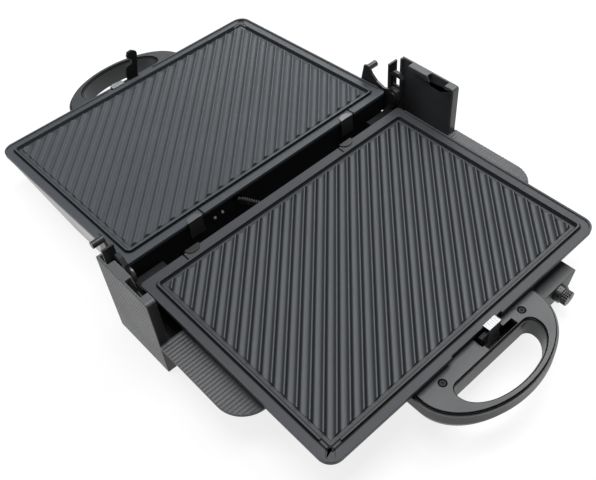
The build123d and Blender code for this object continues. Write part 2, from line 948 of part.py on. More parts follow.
# Float slider and pins, right side in the pivot frame
def float_slider():
    """Block that rises in the bracket's slot, with a flange behind it and a hole for the pin."""
    half = slider_width / 2 - slide_clearance
    x = (bracket_inner, bracket_inner + bracket_thickness + slide_clearance)
    slider = block(x, (-half, half), (-slider_height / 2, slider_height / 2))
    outer = half + slider_flange_margin
    slider += block(
        (x[1], x[1] + slider_flange), (-outer, outer), (-slider_height / 2 - 2, slider_height / 2 + 2)
    )
    return slider - rod_x(pin_radius, (x[0], x[1] + slider_flange), 0, 0)


def hinge_pin():
    """Headed pin through the hinge arm, fixed in the slider."""
    end = bracket_inner + bracket_thickness + slide_clearance + slider_flange
    head = (arm_inner - slide_clearance - pin_head_length, arm_inner - slide_clearance)
    return rod_x(pin_radius, (head[1], end), 0, 0) + rod_x(pin_head_radius, head, 0, 0)


# Lid body in the pivot frame of the lid, before its tilt
def lid_point(y, z):
    """A point of the open lid, given as y and height above the table, in the lid's own frame."""
    rise = z - pivot_height
    tilt = radians(lid_tilt)
    return (y * cos(tilt) - rise * sin(tilt), y * sin(tilt) + rise * cos(tilt))


lid_rim = lid_plane_above_pivot - flange_under


def lid_profile(inset):
    """Side view of the lid body, drawn in by inset."""
    flat_start = lid_point(lid_flat_start, 0)
    flat_end = lid_point(lid_flat_end, 0)
    brk = lid_point(lid_break_reach, lid_break_height)
    return [
        (lid_back + inset, lid_rim),
        (lid_back + inset, -lid_back_depth + inset * 0.6),
        (flat_start[0] + inset * 0.4, flat_start[1] + inset),
        (flat_end[0] - inset * 0.15, flat_end[1] + inset),
        (brk[0] - inset * 0.4, brk[1] + inset),
        (lid_end - inset, -lid_edge_depth + inset),
        (lid_end - inset, lid_rim),
    ]


def lid_body(inset):
    """The lid's whole outer form with drafted sides, drawn in by inset."""
    low = lid_point(lid_flat_start, 0)[1] - 2
    middle = (lid_back + lid_end) / 2
    depth = 2 * lid_end
    top = Pos(0, middle, lid_rim) * Rectangle(2 * (lid_half_width - inset), depth)
    bottom = Pos(0, middle, low) * Rectangle(2 * (lid_half_width - lid_draft - inset), depth)
    half = lid_half_width + 1
    return prism_x(lid_profile(inset), (-half, half)) & loft([bottom, top])


lid_outside = lid_body(0)
lid_inside_sheet = lid_body(lid_sheet)
lid_beyond = block((-200, 200), (lid_split, 400), (-100, 50))
lid_near = block((-200, 200), (-100, lid_split - part_line), (-100, 50))


def lid_cover():
    """Bent steel shell of the lid."""
    open_top = slab(
        Pos(0, lid_end / 2) * Rectangle(2 * (lid_half_width - lid_sheet), 2 * lid_end - 4 * lid_sheet),
        (lid_rim - 1, lid_rim + 1),
    )
    shell = (lid_outside - lid_inside_sheet) & lid_beyond
    return shell - (open_top & block((-200, 200), (0, lid_end - lid_sheet), (-100, 50)))


def lid_frame():
    """Black hinge end of the lid with a ring that carries the plate."""
    end = (lid_outside - lid_body(lid_frame_wall)) & lid_near
    open_half = lid_half_width - lid_ring_width
    ring_out = lid_sheet + part_line
    ring = block(
        (-lid_half_width + ring_out, lid_half_width - ring_out),
        (lid_back + lid_frame_wall / 2, lid_end - ring_out),
        (lid_rim - lid_ring_depth, lid_rim),
    )
    ring &= lid_body(lid_sheet + part_line)
    ring -= block(
        (-open_half, open_half),
        (lid_back + lid_ring_width, lid_end - lid_ring_width),
        (lid_rim - lid_ring_depth, lid_rim),
    )
    pan = turned_round(slab(bead_outline(pan_inset - seat_gap), (-pan_depth - seat_gap, 0)))
    ring -= Pos(0, 0, lid_plane_above_pivot) * pan
    frame = end + ring
    frame -= Pos(0, 0, lid_plane_above_pivot) * pan
    handle_lug = block(
        (-handle_half_width + 6, handle_half_width - 6), (lid_end - 13, lid_end - ring_out), (-11, lid_rim - 2)
    )
    return frame + (handle_lug & lid_body(lid_sheet + part_line)) - Pos(0, 0, lid_plane_above_pivot) * pan


rivet_places = [(-85, 3.4), (-64, 6.6), (-55, 5.9), (102, 3.0)]


def lid_frame_rivets():
    """Round bright rivet heads on the lid's hinge end, with shanks in the wall."""
    rivets = []
    for x, drop in rivet_places:
        z = lid_rim - drop - 5
        head = rod_y(rivet_radius, x, (lid_back - rivet_head, lid_back), z)
        rivets.append(head + rod_y(rivet_radius / 2, x, (lid_back, lid_back + lid_frame_wall - 0.5), z))
    return group(rivets)


def rivet_holes():
    """Holes for the rivets' shanks."""
    holes = []
    for x, drop in rivet_places:
        z = lid_rim - drop - 5
        holes.append(rod_y(rivet_radius / 2 + 0.01, x, (lid_back - 1, lid_back + lid_frame_wall - 0.5), z))
    return group(holes)


# Hinge arm, right side in the lid's pivot frame
def hinge_arm():
    """Steel side arm: boss on the pin, web up to the hook bar, pad on the lid frame."""
    x = (arm_inner, arm_inner + arm_steel)
    web = prism_x(
        [
            (-3, -7),
            (6, -24),
            (lid_split - 4, -24),
            (lid_split, -4),
            (hook_reach + 5, hook_rise + 2),
            (hook_reach - 1, hook_rise + 3),
            (hook_reach - 6, hook_rise - 5),
            (22, 9),
            (12, 5),
            (4, 7),
        ],
        x,
    )
    web += rod_x(arm_boss_radius, x, 0, 0)
    web += rod_x(hook_radius, (arm_inner, hook_end), hook_reach, hook_rise)
    pad = block((lid_half_width - lid_draft, arm_inner), (lid_back + 2, lid_split - 6), (-21, -8))
    web += pad - lid_outside
    return web - rod_x(pin_radius + running_clearance, x, 0, 0)


# Lock post and its button, in the lid plate's frame
lock_y = (lock_slot_back + lock_side_margin, lock_slot_back + lock_side_margin + lock_thickness)


def lid_lock():
    """Hooked post with the foot that slides inside the lid handle and the stem to its button."""
    foot_top = handle_cover_bottom - slide_clearance
    foot_bottom = foot_top - lock_foot
    points = [
        (lock_left, foot_bottom),
        (lock_left, -1),
        (lock_left + 2.2, 8.4),
        (lock_left + 4.8, 9.2),
        (lock_left + 9.8, 9.4),
        (lock_left + 10.9, 13.7),
        (lock_left + 6.6, 17.5),
        (lock_left + 6.6, 19.5),
        (lock_left + 8.6, 23.5),
        (lock_right + 1.1, 24),
        (lock_right + 5.6, 21),
        (lock_right + 6.4, 18.5),
        (lock_right + 3.3, 7),
        (lock_right, -6),
        (lock_right, foot_bottom),
    ]
    post = prism_y(points, lock_y)
    foot = block(
        (lock_left - lock_foot_reach, lock_right + lock_foot_reach),
        (lock_y[0], lock_foot_front),
        (foot_bottom, foot_top),
    )
    stem_bottom = -handle_bottom_drop - slide_clearance
    stem = block((lock_left, lock_right), lock_y, (stem_bottom, foot_bottom))
    return post + foot + stem


def lock_clearance():
    """Slots in the lid handle in which the lock's post and stem slide."""
    return (
        (lock_left - lock_travel - lock_margin, lock_right + lock_margin),
        (lock_slot_back, lock_slot_front),
    )


def lid_lock_button():
    """Thumb pad of the lock, outside the lid handle."""
    x, y = lock_clearance()
    middle = sum(x) / 2 + lock_travel / 2
    top = -handle_bottom_drop - slide_clearance
    pad = block(
        (middle - lock_button_width / 2, middle + lock_button_width / 2),
        (y[0] - 2.5, y[1] + 2.5),
        (top - lock_button_height, top),
    )
    return fillet(pad.edges().group_by(Axis.Z)[0], 1)


# Spring tube between lid and base
def conduit_frame():
    """Frame at the tube's lower end, z along the tube, and the tube's length."""
    start = Vector(*conduit_base_end)
    way = Vector(*conduit_lid_end) - start
    return Plane(start, z_dir=way), way.length


def wire_conduit():
    """Visible spring tube."""
    plane, length = conduit_frame()
    ends = 2 * (conduit_bend + conduit_wire)
    turns = int((length - ends) / conduit_pitch)
    spring = coil(conduit_radius - conduit_wire / 2, conduit_wire, conduit_pitch, turns, conduit_bend)
    print("conduit turns", turns, "least gap between turns", round(conduit_pitch - conduit_wire, 2))
    return plane.location * spring


def conduit_wires():
    """Insulated wires inside the spring tube, as one round bundle."""
    plane, length = conduit_frame()
    return plane.location * (Pos(0, 0, length / 2) * Cylinder(wires_radius, length - 2 * conduit_wire))


def conduit_hole():
    """Round way for the spring tube through the walls at both its ends."""
    plane, length = conduit_frame()
    hole = Pos(0, 0, length / 2) * Cylinder(conduit_radius + 0.4, length + 20)
    return plane.location * hole


def cord_inlet():
    """Bushing where the mains cord goes into the tub, in the part's own frame."""
    section = tub_section(gland_height - base_plane_height, 0).bounding_box()
    x = section.max.X
    bush = rod_x(gland_radius, (x - 10, x + gland_length), gland_y, gland_height)
    bush -= rod_x(gland_radius - 2, (x - 10, x + gland_length), gland_y, gland_height)
    return bush - on_base * tub_outside


# Assembly
lid_in_plate_frame = Rot(0, 0, 180) * Pos(0, 0, -lid_plane_above_pivot) * lid_outside
base_slot = ((lock_slot_start, lock_slot_end), (-lock_slot_front, -lock_slot_back))
lid_slot_x, lid_slot_y = lock_clearance()
lid_slot = ((-lid_slot_x[1], -lid_slot_x[0]), (-lid_slot_y[1], -lid_slot_y[0]))

nodes = {}
nodes["base_housing"] = on_base * base_housing() - conduit_hole()
nodes["base_bottom_cover"] = bottom_cover()
nodes["base_cover_screws"] = base_cover_screws()
nodes["rubber_feet"] = rubber_feet()
nodes["cord_inlet"] = cord_inlet()
nodes["control_box"] = on_base * control_box()
nodes["thermostat"] = on_base * thermostat()
nodes["control_knob"] = on_base * control_knob()
nodes["base_handle_cover"] = on_base * handle_cover(base_slot, tub_outside)

plate = cooking_plate()
clips = rear_clips()
heater = heating_element()
reflector = heat_reflector()
base_shell = handle_shell(tub_outside)
screws = handle_screws()
catch = release_clip()
lever = release_lever()
spring = release_spring()

stem_slot = block(*lid_slot, (-handle_bottom_drop - 1, -handle_bottom_drop + handle_wall))
lid_shell = handle_shell(lid_in_plate_frame) - stem_slot

for half, place in (("base", on_base), ("lid", on_lid)):
    put = (lambda part: on_base * part) if half == "base" else (lambda part: on_lid * turned_round(part))
    nodes[f"{half}_plate"] = put(plate)
    nodes[f"{half}_plate_rear_clips"] = put(clips)
    nodes[f"{half}_heating_element"] = put(heater)
    nodes[f"{half}_heat_reflector"] = put(reflector)
    nodes[f"{half}_handle_shell"] = put(base_shell if half == "base" else lid_shell)
    nodes[f"{half}_handle_screws"] = put(screws)
    nodes[f"{half}_release_clip"] = put(catch)
    nodes[f"{half}_release_lever"] = put(lever)
    nodes[f"{half}_release_spring"] = put(spring)

nodes["lid_handle_cover"] = on_lid * turned_round(handle_cover(lid_slot, lid_in_plate_frame))
nodes["lid_cover"] = on_lid_pivot * lid_cover()
nodes["lid_frame"] = on_lid_pivot * (lid_frame() - rivet_holes()) - conduit_hole()
nodes["lid_frame_rivets"] = on_lid_pivot * lid_frame_rivets()
nodes["lid_lock"] = on_lid * lid_lock()
nodes["lid_lock_button"] = on_lid * lid_lock_button()
nodes["wire_conduit"] = wire_conduit()
nodes["conduit_wires"] = conduit_wires()

for side, part in both_sides(on_base * tower_cover()).items():
    nodes[f"{side}_tower_cover"] = part
for side, part in both_sides(on_base * tower_bracket()).items():
    nodes[f"{side}_tower_bracket"] = part
for side, part in both_sides(on_base * rear_plate()).items():
    nodes[f"{side}_tower_rear_plate"] = part
for side, part in both_sides(on_base * hinge_block()).items():
    nodes[f"{side}_hinge_block"] = part
for side, part in both_sides(on_base * side_wing()).items():
    nodes[f"{side}_side_wing"] = part
for side, part in both_sides(on_pivot * float_slider()).items():
    nodes[f"{side}_float_slider"] = part
for side, part in both_sides(on_lid_pivot * hinge_arm()).items():
    nodes[f"{side}_hinge_arm"] = part
pins = both_sides(on_pivot * hinge_pin())
nodes["hinge_pins"] = group(pins.values())

# The part's origin is on the table below the middle of the open grill
boxes = [part.bounding_box() for part in nodes.values()]
middle_shift = -(min(b.min.Y for b in boxes) + max(b.max.Y for b in boxes)) / 2
print("shift along y to the middle", round(middle_shift, 4), "pivot height", pivot_height)
for name, part in nodes.items():
    export_step(Pos(0, middle_shift, 0) * part, f"parts/{name}.step")
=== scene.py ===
import json
import math

import bpy
from mathutils import Matrix, Vector


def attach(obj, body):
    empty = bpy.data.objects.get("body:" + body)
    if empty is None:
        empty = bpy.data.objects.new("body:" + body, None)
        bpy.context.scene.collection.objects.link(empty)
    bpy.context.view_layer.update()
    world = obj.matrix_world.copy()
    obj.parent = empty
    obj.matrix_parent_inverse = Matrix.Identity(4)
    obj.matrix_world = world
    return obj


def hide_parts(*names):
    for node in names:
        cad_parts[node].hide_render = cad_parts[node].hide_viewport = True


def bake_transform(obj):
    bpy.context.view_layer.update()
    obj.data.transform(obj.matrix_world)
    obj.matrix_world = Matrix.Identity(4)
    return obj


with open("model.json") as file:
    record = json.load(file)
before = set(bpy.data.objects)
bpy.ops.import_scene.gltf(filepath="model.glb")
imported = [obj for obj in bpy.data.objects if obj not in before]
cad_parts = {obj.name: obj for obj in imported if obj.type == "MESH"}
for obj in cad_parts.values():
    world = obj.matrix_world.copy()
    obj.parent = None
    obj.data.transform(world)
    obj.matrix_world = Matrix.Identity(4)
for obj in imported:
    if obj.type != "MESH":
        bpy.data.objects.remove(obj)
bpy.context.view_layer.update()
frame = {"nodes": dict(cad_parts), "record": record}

# Camera of the photograph, worked out from the straight edges of both plates
IMAGE_WIDTH = 596
FOCAL_PIXELS = 795.3
SENSOR_WIDTH = 36.0
CAMERA_NEAR = 0.01
CAMERA_PLACE = Vector((-0.3153, -0.42715, 0.5724))
CAMERA_RIGHT = Vector((0.7367, -0.6732, -0.0640))
CAMERA_DOWN = Vector((-0.5390, -0.5275, -0.6567))

# Cooking plates: both have one casting, and the lid's is the base's turned over the hinge
LID_TILT = math.radians(3.69)
HINGE = Vector((0.0, 0.000547, 0.0586))
PLATE_MIDDLE = 0.1246
BEAD_HALF = (0.150, 0.1065)
BEAD_CORNER = 0.005
FIELD_HALF = (0.1434, 0.0999)
RIB_PITCH = 0.0099
RIB_PHASE = 0.0011
RIB_TURN = math.radians(45.8 - 90.0)
RIB_WAY = (math.cos(RIB_TURN), math.sin(RIB_TURN))

# Painted shade: dark lines along the bead, as distances from its outer edge
OUTER_SHADE_LINE = (-0.0002, 0.0015)
INNER_SHADE_LINE = (-0.0036, -0.0021)
SHADE_LINE_EDGE = 0.0002
SHADE_LINE_DARKNESS = 0.97
SHADE_LINE_ROUGHNESS = 0.3

# Painted light and shade in the ribs' colour, a painted highlight on each crest and painted shade
# on its steep side, as share of the pitch and factor, from one crest over the valley to the next
BASE_RIB_PAINTED_LIGHT = ((0.0, 2.6), (0.14, 0.2), (0.55, 1.6), (0.87, 0.6), (1.0, 2.6))
LID_RIB_PAINTED_LIGHT = ((0.0, 1.05), (0.22, 0.75), (0.4, 1.05), (0.66, 0.7), (0.9, 1.1), (1.0, 1.05))
RIB_PAINT_TOP = 2.8

# Hinge towers
TOWER_SIDE = 0.18135
TOWER_FRONT = -0.0640
# Painted shade: the left tower's front face is darkened by this share
TOWER_FRONT_PAINTED_SHADE = 0.8
TOWER_RIDGE_WAY = (0.0, 0.83, 0.56)
TOWER_RIDGE_PITCH = 0.0022
TOWER_RIDGE_DEPTH = 0.0005
TOWER_GRAIN_SHARE = 0.1

# Catch clips
CLIP_RIDGE_WAY = (1.0, 0.0, 0.0)
CLIP_RIDGE_PITCH = 0.0024
CLIP_RIDGE_DEPTH = 0.0002

# Finishes in general
COLOUR_DRIFT = 0.1
DRIFT_SCALE = 18.0
DRIFT_DETAIL = 4.0
ROUGHNESS_SPREAD = 0.08
ROUGHNESS_SCALE = 30.0
ROUGHNESS_DETAIL = 3.0
GRAIN_DETAIL = 2.0
METAL_GRAIN = 900.0
SOFT_GRAIN = 1200.0
PLASTIC_GRAIN = 1400.0
COATING_GRAIN = 2200.0
COATING_DEPTH = 0.00005

# Edges
MERGE_DISTANCE = 0.000005
FLAT_ANGLE = math.radians(0.5)
BEVEL_ANGLE = math.radians(30.0)
BEVEL_SEGMENTS = 2
SMOOTH_ANGLE = math.radians(35.0)

# Floor, surround and lamps
FLOOR_SIZE = 12.0
FLOOR_COLOUR = (0.22, 0.22, 0.22, 1.0)
FLOOR_GLOW = (0.82, 0.82, 0.82, 1.0)
FLOOR_ROUGHNESS = 0.9
FLOOR_SPECULAR = 0.1
WORLD_COLOUR = (1.0, 1.0, 1.0, 1.0)
WORLD_LEVEL = 0.12
WORLD_GLINT = 0.3
LAMP_SIZE = 0.9
LAMP_TARGET = Vector((0.0, 0.0, 0.0))
# Place and power of each lamp
LAMPS = {
    "top_lamp": ((0.0, 0.0, 1.8), 17.0),
    "right_lamp": ((1.03, 0.0, 1.47), 17.0),
    "low_lamp": ((1.15, 1.15, 0.76), 8.0),
    "back_lamp": ((-0.73, 0.73, 1.47), 7.0),
}


def add_camera():
    """The photograph's camera."""
    right = CAMERA_RIGHT.normalized()
    up = -(CAMERA_DOWN - right * CAMERA_DOWN.dot(right)).normalized()
    back = right.cross(up)
    data = bpy.data.cameras.new("camera")
    data.sensor_width = SENSOR_WIDTH
    data.lens = FOCAL_PIXELS / IMAGE_WIDTH * SENSOR_WIDTH
    data.clip_start = CAMERA_NEAR
    camera = bpy.data.objects.new("camera", data)
    bpy.context.scene.collection.objects.link(camera)
    turn = Matrix((right, up, back)).transposed().to_4x4()
    camera.matrix_world = Matrix.Translation(CAMERA_PLACE) @ turn
    bpy.context.scene.camera = camera


add_camera()
bpy.context.scene.view_settings.view_transform = "Standard"


# Helpers for node trees
def new_group(name, inputs, outputs):
    """An empty node group with named sockets, and its input and output nodes."""
    group = bpy.data.node_groups.new(name, "ShaderNodeTree")
    kinds = {"float": "NodeSocketFloat", "colour": "NodeSocketColor", "vector": "NodeSocketVector"}
    for label, kind, value in inputs:
        socket = group.interface.new_socket(label, in_out="INPUT", socket_type=kinds[kind])
        if value is not None:
            socket.default_value = value
    for label, kind in outputs:
        group.interface.new_socket(label, in_out="OUTPUT", socket_type=kinds[kind])
    return group, group.nodes.new("NodeGroupInput"), group.nodes.new("NodeGroupOutput")


def feed(tree, socket, value):
    """A socket is set to a number or linked to another socket."""
    if isinstance(value, (int, float)):
        socket.default_value = value
    elif value is not None:
        tree.links.new(value, socket)


def math_node(tree, operation, first, second=None, third=None):
    """A Math node with each side linked or set."""
    node = tree.nodes.new("ShaderNodeMath")
    node.operation = operation
    for socket, value in zip(node.inputs, (first, second, third)):
        feed(tree, socket, value)
    return node.outputs[0]


def noise_node(tree, vector, scale, detail):
    """A Noise Texture on the given vector."""
    node = tree.nodes.new("ShaderNodeTexNoise")
    tree.links.new(vector, node.inputs["Vector"])
    feed(tree, node.inputs["Scale"], scale)
    node.inputs["Detail"].default_value = detail
    return node.outputs["Fac"]


def spread(tree, value, middle, reach):
    """A 0 to 1 value mapped to lie within a reach of a middle value."""
    node = tree.nodes.new("ShaderNodeMapRange")
    tree.links.new(value, node.inputs["Value"])
    tree.links.new(math_node(tree, "SUBTRACT", middle, reach), node.inputs["To Min"])
    tree.links.new(math_node(tree, "ADD", middle, reach), node.inputs["To Max"])
    return node.outputs["Result"]


def scaled(tree, colour, factor):
    """A colour times a factor."""
    node = tree.nodes.new("ShaderNodeVectorMath")
    node.operation = "SCALE"
    tree.links.new(colour, node.inputs[0])
    tree.links.new(factor, node.inputs["Scale"])
    return node.outputs["Vector"]


def shaded(tree, mask, strength):
    """1 where the mask is 0, less the strength where it is 1."""
    return math_node(tree, "MULTIPLY_ADD", mask, -strength, 1.0)


def along(tree, vector, way):
    """Distance of a point along a direction."""
    node = tree.nodes.new("ShaderNodeVectorMath")
    node.operation = "DOT_PRODUCT"
    tree.links.new(vector, node.inputs[0])
    tree.links.new(way, node.inputs[1])
    return node.outputs["Value"]


def coordinates(tree, vector):
    """The X, Y and Z of a vector."""
    node = tree.nodes.new("ShaderNodeSeparateXYZ")
    tree.links.new(vector, node.inputs["Vector"])
    return node.outputs["X"], node.outputs["Y"], node.outputs["Z"]


def ramp(tree, value, start, end):
    """0 below start, 1 above end, and smooth between them."""
    node = tree.nodes.new("ShaderNodeMapRange")
    node.interpolation_type = "SMOOTHSTEP"
    tree.links.new(value, node.inputs["Value"])
    node.inputs["From Min"].default_value = start
    node.inputs["From Max"].default_value = end
    return node.outputs["Result"]


def pulse(tree, value, limits, edge):
    """1 between two limits, with soft edges."""
    rise, fall = (ramp(tree, value, limit - edge, limit + edge) for limit in limits)
    return math_node(tree, "SUBTRACT", rise, fall)


# Shared effects
def build_fine_grain():
    """Fine moulded grain: a height and a roughness that varies a little."""
    group, given, result = new_group(
        "fine_grain",
        [("Vector", "vector", None), ("Grain Scale", "float", None),
         ("Base Roughness", "float", None), ("Roughness Spread", "float", ROUGHNESS_SPREAD)],
        [("Height", "float"), ("Roughness", "float")],
    )
    place = given.outputs["Vector"]
    grain = noise_node(group, place, given.outputs["Grain Scale"], GRAIN_DETAIL)
    patch = noise_node(group, place, ROUGHNESS_SCALE, ROUGHNESS_DETAIL)
    roughness = spread(
        group, patch, given.outputs["Base Roughness"], given.outputs["Roughness Spread"]
    )
    group.links.new(grain, result.inputs["Height"])
    group.links.new(roughness, result.inputs["Roughness"])
    return group


def build_tone():
    """A colour that drifts a little from place to place."""
    group, given, result = new_group(
        "tone",
        [("Vector", "vector", None), ("Colour", "colour", None),
         ("Patch Scale", "float", DRIFT_SCALE), ("Drift", "float", None)],
        [("Colour", "colour")],
    )
    patch = noise_node(group, given.outputs["Vector"], given.outputs["Patch Scale"], DRIFT_DETAIL)
    factor = spread(group, patch, 1.0, given.outputs["Drift"])
    group.links.new(scaled(group, given.outputs["Colour"], factor), result.inputs["Colour"])
    return group


def build_ridges():
    """Straight moulded ridges across one direction, as a height from 0 to 1."""
    group, given, result = new_group(
        "ridges",
        [("Vector", "vector", None), ("Across", "vector", None), ("Pitch", "float", None)],
        [("Height", "float")],
    )
    across = along(group, given.outputs["Vector"], given.outputs["Across"])
    turns = math_node(group, "DIVIDE", across, given.outputs["Pitch"])
    wave = math_node(group, "SINE", math_node(group, "MULTIPLY", turns, 2 * math.pi))
    group.links.new(math_node(group, "MULTIPLY_ADD", wave, 0.5, 0.5), result.inputs["Height"])
    return group


def distance_outside(tree, side, depth, half, corner):
    """Distance outside a rectangle with round corners, negative inside it."""
    over_side = math_node(tree, "SUBTRACT", side, half[0] - corner)
    over_depth = math_node(tree, "SUBTRACT", depth, half[1] - corner)
    squares = [
        math_node(tree, "POWER", math_node(tree, "MAXIMUM", over, 0.0), 2.0)
        for over in (over_side, over_depth)
    ]
    outside = math_node(tree, "SQRT", math_node(tree, "ADD", *squares))
    inside = math_node(tree, "MINIMUM", math_node(tree, "MAXIMUM", over_side, over_depth), 0.0)
    return math_node(tree, "SUBTRACT", math_node(tree, "ADD", outside, inside), corner)


def build_plate_relief():
    """Where a point lies between two rib crests, and the painted shade lines along the bead."""
    group, given, result = new_group(
        "plate_relief",
        [("Vector", "vector", None), ("Rib Way", "vector", None), ("Rib Start", "float", None),
         ("Depth Way", "vector", None), ("Depth Start", "float", None)],
        [("Share", "float"), ("Field", "float"), ("Bead Shade", "float")],
    )
    place = given.outputs["Vector"]
    across = along(group, place, given.outputs["Rib Way"])
    across = math_node(group, "ADD", across, given.outputs["Rib Start"])
    share = math_node(group, "FRACT", math_node(group, "DIVIDE", across, RIB_PITCH))
    side = math_node(group, "ABSOLUTE", coordinates(group, place)[0])
    depth = along(group, place, given.outputs["Depth Way"])
    depth = math_node(group, "ADD", depth, given.outputs["Depth Start"])
    depth = math_node(group, "ABSOLUTE", depth)
    field = math_node(
        group, "MULTIPLY",
        math_node(group, "LESS_THAN", side, FIELD_HALF[0]),
        math_node(group, "LESS_THAN", depth, FIELD_HALF[1]),
    )
    outside = distance_outside(group, side, depth, BEAD_HALF, BEAD_CORNER)
    # Painted shade lines at the bead's outer foot and inside it
    bead_shade_lines = math_node(
        group, "MAXIMUM",
        pulse(group, outside, OUTER_SHADE_LINE, SHADE_LINE_EDGE),
        pulse(group, outside, INNER_SHADE_LINE, SHADE_LINE_EDGE),
    )
    group.links.new(share, result.inputs["Share"])
    group.links.new(field, result.inputs["Field"])
    group.links.new(bead_shade_lines, result.inputs["Bead Shade"])
    return group


fine_grain = build_fine_grain()
tone = build_tone()
plate_relief = build_plate_relief()
ridges = build_ridges()


# Materials
def use_group(tree, group, place, **values):
    """A group node on the piece's coordinates, with its named values set."""
    node = tree.nodes.new("ShaderNodeGroup")
    node.node_tree = group
    tree.links.new(place, node.inputs["Vector"])
    for label, value in values.items():
        node.inputs[label.replace("_", " ")].default_value = value
    return node


def start_finish(name, colour, roughness, grain_scale, metallic=0.0, specular=0.5):
    """A material with the shared grain and tone, and what its finish is made from."""
    material = bpy.data.materials.new(name)
    material.use_nodes = True
    tree = material.node_tree
    shader = tree.nodes["Principled BSDF"]
    shader.inputs["Metallic"].default_value = metallic
    shader.inputs["Specular IOR Level"].default_value = specular
    place = tree.nodes.new("ShaderNodeTexCoord").outputs["Object"]
    grain = use_group(tree, fine_grain, place, Grain_Scale=grain_scale, Base_Roughness=roughness)
    shade = use_group(tree, tone, place, Colour=(*colour, 1.0), Drift=COLOUR_DRIFT)
    return material, tree, shader, place, grain, shade.outputs["Colour"]


def end_finish(tree, shader, colour, roughness, height, depth):
    """The shader gets its colour, its roughness and a bump of the given depth."""
    tree.links.new(colour, shader.inputs["Base Color"])
    tree.links.new(roughness, shader.inputs["Roughness"])
    node = tree.nodes.new("ShaderNodeBump")
    node.inputs["Distance"].default_value = depth
    node.inputs["Strength"].default_value = 1.0
    tree.links.new(height, node.inputs["Height"])
    tree.links.new(node.outputs["Normal"], shader.inputs["Normal"])


def grained(name, colour, roughness, grain_scale, grain_depth, **extra):
    """Moulded or coated surface with fine grain."""
    material, tree, shader, _, grain, shade = start_finish(
        name, colour, roughness, grain_scale, **extra
    )
    end_finish(
        tree, shader, shade, grain.outputs["Roughness"], grain.outputs["Height"], grain_depth
    )
    return material


def ridged_tower(name, colour, roughness):
    """Moulded plastic with slanting ridges on the towers' outer sides, and painted shade that
    darkens the left tower's front face.
    """
    material, tree, shader, place, grain, shade = start_finish(
        name, colour, roughness, PLASTIC_GRAIN
    )
    lines = use_group(tree, ridges, place, Across=TOWER_RIDGE_WAY, Pitch=TOWER_RIDGE_PITCH)
    side, depth, _ = coordinates(tree, place)
    outer = math_node(tree, "GREATER_THAN", math_node(tree, "ABSOLUTE", side), TOWER_SIDE)
    ridge = math_node(tree, "MULTIPLY", lines.outputs["Height"], outer)
    height = math_node(tree, "MULTIPLY_ADD", grain.outputs["Height"], TOWER_GRAIN_SHARE, ridge)
    # Painted shade on the left tower's front face
    left_front_painted_shade = math_node(
        tree, "MULTIPLY",
        math_node(tree, "LESS_THAN", depth, TOWER_FRONT),
        math_node(tree, "LESS_THAN", side, 0.0),
    )
    colour = scaled(tree, shade, shaded(tree, left_front_painted_shade, TOWER_FRONT_PAINTED_SHADE))
    end_finish(tree, shader, colour, grain.outputs["Roughness"], height, TOWER_RIDGE_DEPTH)
    return material


def ridged_clip(name, colour, roughness):
    """Steel with straight fine ridges all over."""
    material, tree, shader, place, grain, shade = start_finish(
        name, colour, roughness, METAL_GRAIN, metallic=1.0
    )
    lines = use_group(tree, ridges, place, Across=CLIP_RIDGE_WAY, Pitch=CLIP_RIDGE_PITCH)
    end_finish(
        tree, shader, shade, grain.outputs["Roughness"], lines.outputs["Height"], CLIP_RIDGE_DEPTH
    )
    return material


def painted_rib_light(tree, share, points):
    """A colour factor of painted highlight and painted shade that follows the given points between
    two rib crests.
    """
    node = tree.nodes.new("ShaderNodeFloatCurve")
    curve = node.mapping.curves[0]
    curve.points[0].location = (points[0][0], points[0][1] / RIB_PAINT_TOP)
    curve.points[1].location = (points[-1][0], points[-1][1] / RIB_PAINT_TOP)
    for share_at, factor in points[1:-1]:
        curve.points.new(share_at, factor / RIB_PAINT_TOP)
    node.mapping.update()
    tree.links.new(share, node.inputs["Value"])
    return math_node(tree, "MULTIPLY", node.outputs["Value"], RIB_PAINT_TOP)


def coated_plate(name, colour, roughness, specular, ways, points):
    """Non-stick coating, with painted light and shade on the ribs and painted shade lines along
    the bead, laid along a plate's own side and depth ways.
    """
    material, tree, shader, place, grain, shade = start_finish(
        name, colour, roughness, COATING_GRAIN, specular=specular
    )
    side_way, depth_way = ways
    depth_start = PLATE_MIDDLE - depth_way.dot(HINGE)
    relief = use_group(
        tree, plate_relief, place,
        Rib_Way=side_way * RIB_WAY[0] + depth_way * RIB_WAY[1],
        Rib_Start=depth_start * RIB_WAY[1] - RIB_PHASE,
        Depth_Way=depth_way,
        Depth_Start=depth_start,
    )
    bead_shade = relief.outputs["Bead Shade"]
    # Painted highlight and painted shade across each rib, in the coating's colour
    change = painted_rib_light(tree, relief.outputs["Share"], points)
    change = math_node(tree, "SUBTRACT", change, 1.0)
    ribs = math_node(tree, "MULTIPLY_ADD", change, relief.outputs["Field"], 1.0)
    light = math_node(tree, "MULTIPLY", ribs, shaded(tree, bead_shade, SHADE_LINE_DARKNESS))
    rough = math_node(tree, "MULTIPLY_ADD", bead_shade, SHADE_LINE_ROUGHNESS, grain.outputs["Roughness"])
    end_finish(
        tree, shader, scaled(tree, shade, light), rough, grain.outputs["Height"], COATING_DEPTH
    )
    return material


BASE_WAYS = (Vector((1.0, 0.0, 0.0)), Vector((0.0, 1.0, 0.0)))
LID_WAYS = (Vector((-1.0, 0.0, 0.0)), Vector((0.0, -math.cos(LID_TILT), math.sin(LID_TILT))))

